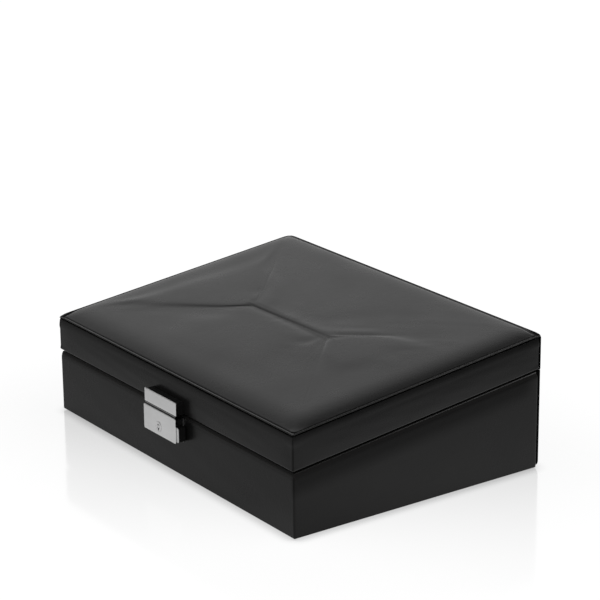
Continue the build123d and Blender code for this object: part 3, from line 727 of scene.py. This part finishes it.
def back_panel(name, half, span, low, high, lower_corner, upper_corner):
    """A panel that faces the back: rings of its outline seen from behind, from its inner to its outer face.

    span is its (near, far) depths, and low and high give its lower and upper edge's height at a depth.
    The far edge is rounded by an arc, the back swells by the sine of its inset's share, and the edge
    is painted.
    """
    rounding = 0.6
    steps = [(0.3, span[0]), (0.0, span[0] + 0.1), (0.0, span[1] - rounding)]
    arc = arc_steps((rounding, 0.0), rounding, 165, 90, 5)
    steps += [(inset, span[1] - rounding + rise) for inset, rise in arc]
    edge_rings = 6
    for inset in (1.5, 3, 6, 10, 14):
        steps.append((inset, span[1] + 0.12 * math.sin(math.pi / 2 * min(inset / 12, 1))))
    rings, painted = [], []
    for number, (inset, y) in enumerate(steps):
        depth = (low(span[0]), high(y))
        inset = min(inset, (depth[1] - depth[0]) / 2 - 0.3)
        flat = outline(half, depth, (lower_corner, upper_corner), inset)[0]
        rings.append(np.column_stack([-flat[:, 0], np.full(len(flat), y), flat[:, 1]]))
        painted.append(np.full(len(flat), 1.0 if number < edge_rings else 0.0))
    piece = skin(name, np.array(rings), crisp=60)
    mark(piece, "rubbed", np.zeros(len(piece.data.vertices)))
    piece.data.materials.append(NAPPA)
    piece.data.materials.append(EDGE_PAINT_AND_SHADE)
    painted = np.concatenate(painted)
    for face in piece.data.polygons:
        if len(face.vertices) == 4 and painted[list(face.vertices)].min() > 0.5:
            face.material_index = 1
    return piece


base_panel = back_panel(
    "base_back_leather",
    BASE_HALF - PANEL_SHY,
    (88.9, 90.6),
    lambda y: SOLE_Z,
    lambda y: seam_z(y, 0.0),
    lower_corner=4.0,
    upper_corner=0.4,
)
fitted(base_panel, "base", "leather", "base_back_panel")
lid_panel = back_panel(
    "lid_back_leather",
    LID_HALF - PANEL_SHY,
    (89.75, 90.7),
    lambda y: seam_z(y, 0.25),
    lambda y: top_z(y, -1.0),
    lower_corner=0.4,
    upper_corner=1.2,
)
fitted(lid_panel, "lid", "leather", "lid_back_panel")

# Linings, dividers and the floor pad

rings = []
lining_steps = [(0.0, BOARD_Z, None), (0.0, None, -0.9)]
lining_steps += [(i, None, r) for i, r in arc_steps((0.9, -0.9), 0.9, 165, 15, 9)]
lining_steps += [(1.8, None, -0.9), (1.8, None, -14.0), (1.8, BOARD_Z, None)]
for inset, height, rise in lining_steps:
    flat = outline(123.4, (-84.4, 82.9), (0.5, 0.5), inset, (40, 30), 4)[0]
    z = np.full(len(flat), height) if rise is None else seam_z(flat[:, 1], 2.9 + rise)
    rings.append(np.column_stack([flat, z]))
walls = skin("suede_wall_lining", np.array(rings), loop=True, crisp=50)
fitted(walls, "base", "suede", "lining_front", "lining_back", "lining_left", "lining_right")

ROOM_X = 121.6
ROOM_Y = (-82.6, 81.1)
LONG_Y = (-8.0, -6.0)
RING_X = (20.0, 22.0)
RIGHT_Y = -45.3
BACK_X = ROOM_X / 3


def bar(name, across, stations, along_x, section):
    """A bar along one axis: at each station, section gives its cross-section's ring, across and up."""
    rings = []
    for station in stations:
        ring = section(station)
        level = np.full(len(ring), station)
        if along_x:
            rings.append(np.column_stack([level, ring[:, 0] + across, ring[:, 1]]))
        else:
            rings.append(np.column_stack([across - ring[:, 0], level, ring[:, 1]]))
    return skin(name, np.array(rings), crisp=50)


def round_top(half, low, high, count=9):
    """A strip's cross-section: straight sides from low and a half circle on top."""
    angle = np.radians(np.linspace(0, 180, count))
    top = np.stack([half * np.cos(angle), high - half + half * np.sin(angle)], axis=-1)
    return np.concatenate([[(-half, low), (half, low)], top])


def divider(node, across, span, along_x):
    """A suede strip with a rounded top parallel to the seam, a twentieth of a millimetre lower halfway."""

    def section(station):
        """The strip's cross-section at a station along it."""
        y = across if along_x else station
        share = (station - span[0]) / (span[1] - span[0])
        return round_top(1.0, FLOOR_Z, float(seam_z(y, -8.6)) - 0.05 * math.sin(math.pi * share))

    strip = bar(f"suede_{node}", across, np.linspace(span[0], span[1], 25), along_x, section)
    return fitted(strip, "base", "suede", node)


divider("divider_long", -7.0, (-ROOM_X, ROOM_X), True)
divider("divider_rings", 21.0, (ROOM_Y[0], LONG_Y[0]), False)
divider("divider_right_1", RIGHT_Y, (RING_X[1], ROOM_X), True)
divider("divider_back_1", -BACK_X, (LONG_Y[1], ROOM_Y[1]), False)
divider("divider_back_2", BACK_X, (LONG_Y[1], ROOM_Y[1]), False)


def room_bulge(x, y):
    """How far the floor pad rises: the square root of the sines across the room that a point is in."""
    rooms = (
        (-ROOM_X, -BACK_X - 1, LONG_Y[1], ROOM_Y[1]),
        (1 - BACK_X, BACK_X - 1, LONG_Y[1], ROOM_Y[1]),
        (BACK_X + 1, ROOM_X, LONG_Y[1], ROOM_Y[1]),
        (RING_X[1], ROOM_X, ROOM_Y[0], RIGHT_Y - 1),
        (RING_X[1], ROOM_X, RIGHT_Y + 1, LONG_Y[0]),
    )
    rise = np.zeros_like(x)
    for left, right, near, far in rooms:
        across = np.clip((x - left) / (right - left), 0, 1)
        deep = np.clip((y - near) / (far - near), 0, 1)
        rise = rise + np.sqrt(np.sin(np.pi * across).clip(0) * np.sin(np.pi * deep).clip(0))
    return rise


BULGE = 0.45
columns = np.linspace(-ROOM_X, ROOM_X, 123)
rows = np.linspace(ROOM_Y[0], ROOM_Y[1], 83)
rings = []
for y in rows:
    level = np.full(len(columns), y)
    upper = np.column_stack([columns[::-1], level, FLOOR_Z + BULGE * room_bulge(columns[::-1], level)])
    lower = np.column_stack([columns, level, np.full(len(columns), BOARD_Z)])
    rings.append(np.concatenate([lower, upper])[::-1])
floor_pad = skin("suede_floor_pad", np.array(rings), crisp=50)
fitted(floor_pad, "base", "suede", "floor_pad")

# The padded ring rolls

ROLL_PITCH = 14.92
ROLL_RADIUS = 7.26
ROLL_TOP = 32.3
ROLL_SPAN = (-ROOM_X + 0.1, RING_X[0] - 0.1)
for number in range(5):
    roll_y = ROOM_Y[0] + (number + 0.5) * ROLL_PITCH

    def section(station):
        """The roll's cross-section, drawn in towards both ends and rippled by slow sines along it."""
        end = min(station - ROLL_SPAN[0], ROLL_SPAN[1] - station)
        drawn = 0.9 * max(0.0, 1 - end / 2.5) ** 2
        ripple = 0.12 * math.sin(station * 0.13 + number) + 0.08 * math.sin(station * 0.31 + 2 * number)
        radius = ROLL_RADIUS - 0.5 - drawn
        return round_top(radius, FLOOR_Z, ROLL_TOP - drawn - 0.6 + ripple, 21)

    ends = np.array([0, 0.4, 0.9, 1.6, 2.5])
    stations = np.concatenate([ROLL_SPAN[0] + ends, np.linspace(-116, 14, 40), ROLL_SPAN[1] - ends[::-1]])
    roll = bar(f"padded_ring_roll_{number + 1}", roll_y, stations, True, section)
    heights = np.array([point.co.z for point in roll.data.vertices]) / MM
    puffed(roll, heights < FLOOR_Z + 0.5, 0.45)
    fitted(roll, "base", "suede", f"ring_roll_{number + 1}")

# Inside the lid: its suede lining and the padded frame round the mirror

rings = []
CEILING = -5.8
tray_steps = [(30.0, CEILING, None), (0.85, CEILING, None), (0.8, CEILING - 0.1, None), (0.8, None, 2.0)]
tray_steps += [(0.65, None, 1.65), (0.4, None, 1.6), (0.15, None, 1.65), (0.0, None, 2.0)]
tray_steps += [(0.0, -5.0, None)]
for inset, up, over in tray_steps:
    flat = outline(125.0, (-86.0, 84.5), (0.5, 0.5), inset, (30, 24), 4)[0]
    z = top_z(flat[:, 1], up) if over is None else seam_z(flat[:, 1], over)
    rings.append(np.column_stack([flat, z]))
lid_suede = skin("suede_lid_lining", np.array(rings), crisp=50)
fitted(lid_suede, "lid", "suede", "lid_lining_top", "lid_lining_edge")

FRAME_HALF = 107.0
FRAME_DEPTH = (SLOPE_LENGTH / 2 - 67.0, SLOPE_LENGTH / 2 + 67.0)
frame_steps = [(0.0, -7.6), (0.0, CEILING), (12.0, CEILING), (12.0, -7.8), (14.0, -7.8), (14.0, -8.0)]
for share in np.linspace(0.06, 0.97, 13):
    frame_steps.append((14.0 * (1 - share), -8.0 + 0.35 * share - 0.85 * math.sin(math.pi * share) ** 0.7))
rings = []
for inset, up in frame_steps:
    flat = outline(FRAME_HALF, FRAME_DEPTH, (15.0, 15.0), inset, (40, 30), 10)[0]
    rings.append(on_lid(flat[:, 0], flat[:, 1], up))
mirror_frame = skin("padded_mirror_frame", np.array(rings), loop=True, crisp=60)
puffed(mirror_frame, np.repeat(np.arange(len(rings)) < 6, len(flat)), 0.4)
fitted(mirror_frame, "lid", "suede", "mirror_frame")

# The felt sole

rings = []
sole_steps = [(0.4, 0.0), (0.1, 0.1), (0.0, 0.35), (0.1, 0.7), (0.4, 0.8), (8.4, 0.8), (8.5, 0.9), (8.5, 1.8)]
for inset, z in sole_steps:
    flat = outline(125.9, (-86.9, 86.9), (1.0, 1.0), inset, (30, 24), 4)[0]
    rings.append(np.column_stack([flat, np.full(len(flat), z)]))
sole = skin("felt_sole", np.array(rings), crisp=50)
fitted(sole, "base", "foot_cloth", "foot_sheet")

# The lock's nickel plates


def lock_face(name, x, z, y, corner, hole=None):
    """A plate that faces the front: rings from its edge at the back over the rounded front edge.

    x, z and y are (low, high) pairs, y from the back to the front. Where it has a hole, (x, z, radius),
    the rings go on between the outline and the hole's circle, and back through the hole.
    """
    rounding = 0.3
    middle = (x[0] + x[1]) / 2
    half = (x[1] - x[0]) / 2

    def at(inset, y):
        """The plate's outline, drawn in by inset, at a depth."""
        flat = outline(half, z, (corner, corner), inset, (24, 16), 8)[0]
        return np.column_stack([flat[:, 0] + middle, np.full(len(flat), y), flat[:, 1]])

    rings = [at(0.15, y[0]), at(0.0, y[0] - 0.15)]
    for inset, rise in arc_steps((rounding, 0.0), rounding, 175, 90, 6):
        rings.append(at(inset, y[1] + rounding - rise))
    if hole is None:
        rings += [at(1.2, y[1]), at(3.0, y[1])]
        return skin(name, np.array(rings), crisp=50)
    edge = rings[-1]
    away = edge[:, (0, 2)] - np.array(hole[:2])
    away /= np.linalg.norm(away, axis=1)[:, None]

    def round_hole(radius, y):
        """A circle round the hole's middle, with its points straight in from the outline's, at a depth."""
        circle = np.array(hole[:2]) + away * radius
        return np.column_stack([circle[:, 0], np.full(len(circle), y), circle[:, 1]])

    rings += [edge * (1 - s) + round_hole(hole[2] + 0.15, y[1]) * s for s in (0.3, 0.6, 0.9, 1.0)]
    rings += [round_hole(hole[2] + 0.04, y[1] + 0.05), round_hole(hole[2], y[1] + 0.15)]
    rings += [round_hole(hole[2], y[0])]
    return skin(name, np.array(rings), loop=True, crisp=50)


PLATE_X = (-17.75, 17.5)
PLATE_Z = (24.3, 40.1)
PLATE_Y = (-96.6, -97.4)
CYLINDER = (-1.2, 30.0, 3.05)
lower_face = lock_face("lock_nickel_face", PLATE_X, PLATE_Z, PLATE_Y, 0.9, CYLINDER)
fitted(lower_face, "base", "nickel", "lock_plate")
LIP_X = (-16.8, 16.4)
LIP_Y = -96.35
LIP_Z = (38.0, 41.0)
LIP_EDGE_Z = (40.9, 41.4)
lip_stations = np.linspace(*LIP_X, 9)
lip = bar("lock_case_lip", LIP_Y, lip_stations, True, lambda station: round_top(0.15, *LIP_Z, 5))
fitted(lip, "base", "black_enamel")
lip_edge = bar(
    "lock_case_lip_edge", LIP_Y, lip_stations, True, lambda station: round_top(0.2, *LIP_EDGE_Z, 5)
)
fitted(lip_edge, "base", "steel")
upper_face = lock_face("lid_lock_nickel_face", (-16.95, 17.8), (41.9, 50.3), (-96.2, -97.0), 0.35)
fitted(upper_face, "lid", "nickel", "lid_lock_plate")

# The key cylinder: a round keyhole for a barrel key, with the pin in its middle and a notch below

CYLINDER_FACE = -97.55
HOLE_FLOOR = CYLINDER_FACE + 2.2
PIN_SHOULDER = CYLINDER_FACE + 0.3
HOLE_RADIUS = 1.5
NOTCH_REACH = 2.6
PIN_RADIUS = 1.26
turns = np.radians(np.arange(120) * 3.0)
from_below = np.mod(turns + 1.5 * math.pi, 2 * math.pi) - math.pi
notch = np.clip(1 - (from_below / 0.36) ** 6, 0, 1)


def cylinder_ring(radius, y, reach=None):
    """A ring round the cylinder's middle, seen from the front; its radius grows to reach at the notch."""
    radius = radius + notch * ((reach or radius) - radius)
    x = CYLINDER[0] + radius * np.cos(turns)
    z = CYLINDER[1] + radius * np.sin(turns)
    return np.column_stack([x, np.full(len(turns), y), z])


rings = [cylinder_ring(1.2, -90.5), cylinder_ring(1.2, -94.6), cylinder_ring(3.0, -94.6)]
rings += [cylinder_ring(3.0, -97.3)]
for inset, rise in arc_steps((0.2, 0), 0.2, 170, 90, 5):
    rings.append(cylinder_ring(3.0 - inset, CYLINDER_FACE + 0.2 - rise))
rings += [cylinder_ring(2.4, CYLINDER_FACE - 0.02, 2.74), cylinder_ring(1.9, CYLINDER_FACE - 0.02, 2.7)]
rings += [cylinder_ring(1.62, CYLINDER_FACE, 2.66), cylinder_ring(1.53, CYLINDER_FACE + 0.06, 2.62)]
rings += [cylinder_ring(HOLE_RADIUS, CYLINDER_FACE + 0.15, NOTCH_REACH)]
rings += [cylinder_ring(HOLE_RADIUS, HOLE_FLOOR, NOTCH_REACH)]
rings += [cylinder_ring(PIN_RADIUS, HOLE_FLOOR), cylinder_ring(PIN_RADIUS, PIN_SHOULDER)]
for inset, rise in arc_steps((0.9, 0), 0.9, 165, 90, 6):
    rings.append(cylinder_ring(PIN_RADIUS - inset, PIN_SHOULDER - 0.45 * rise))
cylinder = skin("key_cylinder_with_pin", np.array(rings), crisp=40)
fitted(cylinder, "key_barrel", "nickel", "key_cylinder")

# Metal parts whose CAD shape is right get eased edges

EASED_PARTS = (
    ("lock_case", "base", "black_enamel", 0.25),
    ("lid_lock_housing", "lid", "black_enamel", 0.25),
    ("release_button", "release", "black_enamel", 0.3),
    ("button_trim", "release", "nickel", 0.12),
    ("lock_cam", "key_barrel", "steel", 0.1),
    ("hasp", "lid", "steel", 0.12),
    ("lock_rivets", "base", "steel", 0.12),
    ("lid_lock_rivets", "lid", "steel", 0.12),
    ("base_hinge_leaf_left", "base", "nickel", 0.08),
    ("base_hinge_leaf_right", "base", "nickel", 0.08),
    ("lid_hinge_leaf_left", "lid", "nickel", 0.08),
    ("lid_hinge_leaf_right", "lid", "nickel", 0.08),
    ("hinge_pin_left", "base", "nickel", 0.15),
    ("hinge_pin_right", "base", "nickel", 0.15),
)
CASE_SOLE = 24.45
for node, body, slot, width in EASED_PARTS:
    piece = fitted(eased(node, width), body, slot, node)
    if node == "lock_case":
        for point in piece.data.vertices:
            point.co.z = max(point.co.z, CASE_SOLE * MM)

# Floor, light and camera

REACH = 12.0
floor_corners = [(-REACH, -REACH, 0), (REACH, -REACH, 0), (REACH, REACH, 0), (-REACH, REACH, 0)]
floor_mesh = bpy.data.meshes.new("studio_floor")
floor_mesh.from_pydata(floor_corners, [], [(0, 1, 2, 3)])
floor = bpy.data.objects.new("studio_floor", floor_mesh)
bpy.context.scene.collection.objects.link(floor)

BACKDROP_WAY = (-0.84, 0.41, 0.35)
NEAR_WAY = (0.84, -0.41, 0.35)
FAR_RIGHT = (0.83, 0.55, 0.0)
CASE_REACH = (0.13, 0.09, 0.0)
NEAR_CORNER = (0.13, -0.09, 0.0)


def floor_finish():
    """White gloss board: what the camera, gloss and glass see is lifted to white and keeps the shadow.

    The lifted white falls steeply with the open sky, within a centimetre of what stands on it. For the
    camera the board mirrors the case: more with the distance from the case's near corner, and fading
    within a hand of the case. Gloss sees the white fade away from the case, but not towards the backdrop.
    """
    recipe = Recipe("white_gloss_board")
    tree = recipe.tree
    tree.nodes.remove(recipe.shader)
    path = recipe.node("ShaderNodeLightPath").outputs

    def aimed(operation, first, second, output="Vector"):
        """One vector sum of two vectors."""
        vectors = {0: first, 1: second}
        return recipe.node("ShaderNodeVectorMath", vectors, operation=operation).outputs[output]

    def sky(reach):
        """The share of the sky that is open within a distance."""
        return recipe.node("ShaderNodeAmbientOcclusion", {"Distance": reach}, samples=8).outputs["AO"]

    nil = (0.0, 0.0, 0.0)
    away = aimed("DISTANCE", recipe.place, nil, "Value")
    right = aimed("DOT_PRODUCT", recipe.place, FAR_RIGHT, "Value")
    behind = aimed("DOT_PRODUCT", aimed("NORMALIZE", recipe.place, nil), BACKDROP_WAY, "Value")
    past_case = aimed("SUBTRACT", aimed("ABSOLUTE", recipe.place, nil), CASE_REACH)
    from_case = aimed("DISTANCE", aimed("MAXIMUM", past_case, nil), nil, "Value")
    from_near = aimed("DISTANCE", recipe.place, NEAR_CORNER, "Value")

    close = recipe.spread(sky(0.008), 0.7, 1.0, 0.5, 0.95)
    camera_sees = recipe.maths("MULTIPLY", close, 1.06)
    shaded = recipe.spread(right, 0.7, 1.02, -0.22, -0.12)
    lift = recipe.maths("MULTIPLY", close, recipe.spread(sky(0.15), shaded, 1.07, 0.5, 1.0))
    side = recipe.spread(right, 0.57, 1.2, 0.0, 0.14)
    fading = recipe.maths("MULTIPLY", recipe.spread(away, 1.0, 0.1, 0.16, 0.75), side)
    gloss_sees = recipe.maths("MAXIMUM", fading, recipe.spread(behind, 0.0, 1.0, 0.45, 0.8))
    gloss_sees = recipe.maths("MULTIPLY", lift, gloss_sees)
    strength = recipe.chosen(path["Is Glossy Ray"], camera_sees, gloss_sees)

    passed = recipe.maths("DIVIDE", from_case, recipe.spread(from_near, 0.045, 0.15, 0.0, 0.13))
    left_over = recipe.maths("MAXIMUM", recipe.maths("SUBTRACT", 1.0, passed), 0.0)
    mirrored = recipe.maths("MULTIPLY", recipe.spread(from_near, 0.03, 0.31, 0.0, 0.23), left_over)
    coat = recipe.chosen(path["Is Camera Ray"], 0.08, mirrored)

    white = recipe.node("ShaderNodeBsdfDiffuse", {"Color": grey(0.8)}).outputs[0]
    shine = recipe.node("ShaderNodeBsdfGlossy", {"Roughness": 0.1}).outputs[0]
    glow = recipe.node("ShaderNodeEmission", {"Strength": strength}).outputs[0]
    coated = recipe.layered(coat, recipe.layered(0.9, white, glow), shine)
    bright = recipe.maths("MAXIMUM", path["Is Camera Ray"], path["Is Glossy Ray"])
    bright = recipe.maths("MAXIMUM", bright, path["Is Transmission Ray"])
    tree.links.new(recipe.layered(bright, white, coated), tree.nodes["Material Output"].inputs["Surface"])
    return recipe.material


floor_mesh.materials.append(floor_finish())

# The room is white, but gloss sees it dim, with a white backdrop at two ends

world = bpy.data.worlds.new("studio_room")
bpy.context.scene.world = world
world.use_nodes = True
room = world.node_tree
room_way = put(room, "ShaderNodeTexCoord").outputs["Generated"]
backdrop = 0.0
for way_there, lightest in ((BACKDROP_WAY, 1.0), (NEAR_WAY, 0.7)):
    ways = {0: room_way, 1: way_there}
    towards = put(room, "ShaderNodeVectorMath", ways, operation="DOT_PRODUCT").outputs["Value"]
    inputs = {"Value": towards, "From Min": 0.62, "From Max": 0.95, "To Min": 0.12, "To Max": lightest}
    lit = put(room, "ShaderNodeMapRange", inputs, interpolation_type="SMOOTHSTEP").outputs["Result"]
    backdrop = put(room, "ShaderNodeMath", {0: lit, 1: backdrop}, operation="MAXIMUM").outputs["Value"]
gloss_ray = put(room, "ShaderNodeLightPath").outputs["Is Glossy Ray"]
strength = put(room, "ShaderNodeMix", {0: gloss_ray, 2: 1.0, 3: backdrop}).outputs[0]
room.nodes["Background"].inputs["Color"].default_value = (1, 1, 1, 1)
room.links.new(strength, room.nodes["Background"].inputs["Strength"])


def soft_box(name, place, size, power):
    """A square lamp that faces the middle of the case and shows in gloss only, as a rim light."""
    lamp = bpy.data.lights.new(name, "AREA")
    lamp.shape = "SQUARE"
    lamp.size = size
    lamp.energy = power
    holder = bpy.data.objects.new(name, lamp)
    bpy.context.scene.collection.objects.link(holder)
    holder.location = place
    holder.visible_diffuse = False
    aim = Vector((0, 0, 0.05)) - Vector(place)
    holder.rotation_euler = aim.to_track_quat("-Z", "Y").to_euler()


soft_box("back_right_box", (0.68, 0.61, 0.77), 0.35, 2.6)

TARGET = Vector((9.24, 0.14, 93.23)) * MM
DISTANCE = 1.4393
AZIMUTH, ELEVATION, ROLL = math.radians(54.77), math.radians(18.29), math.radians(-0.559)
back = Vector((
    math.sin(AZIMUTH) * math.cos(ELEVATION),
    -math.cos(AZIMUTH) * math.cos(ELEVATION),
    math.sin(ELEVATION),
))
lens = bpy.data.cameras.new("photo_camera")
lens.lens = 141.22
lens.sensor_width = 36
lens.clip_start, lens.clip_end = 0.05, 60
camera = bpy.data.objects.new("photo_camera", lens)
bpy.context.scene.collection.objects.link(camera)
upright = (-back).to_track_quat("-Z", "Y").to_matrix()
turned = (upright @ Matrix.Rotation(ROLL, 3, "Z")).to_4x4()
camera.matrix_world = Matrix.Translation(TARGET + back * DISTANCE) @ turned
bpy.context.scene.camera = camera
bpy.context.scene.view_settings.view_transform = "Standard"
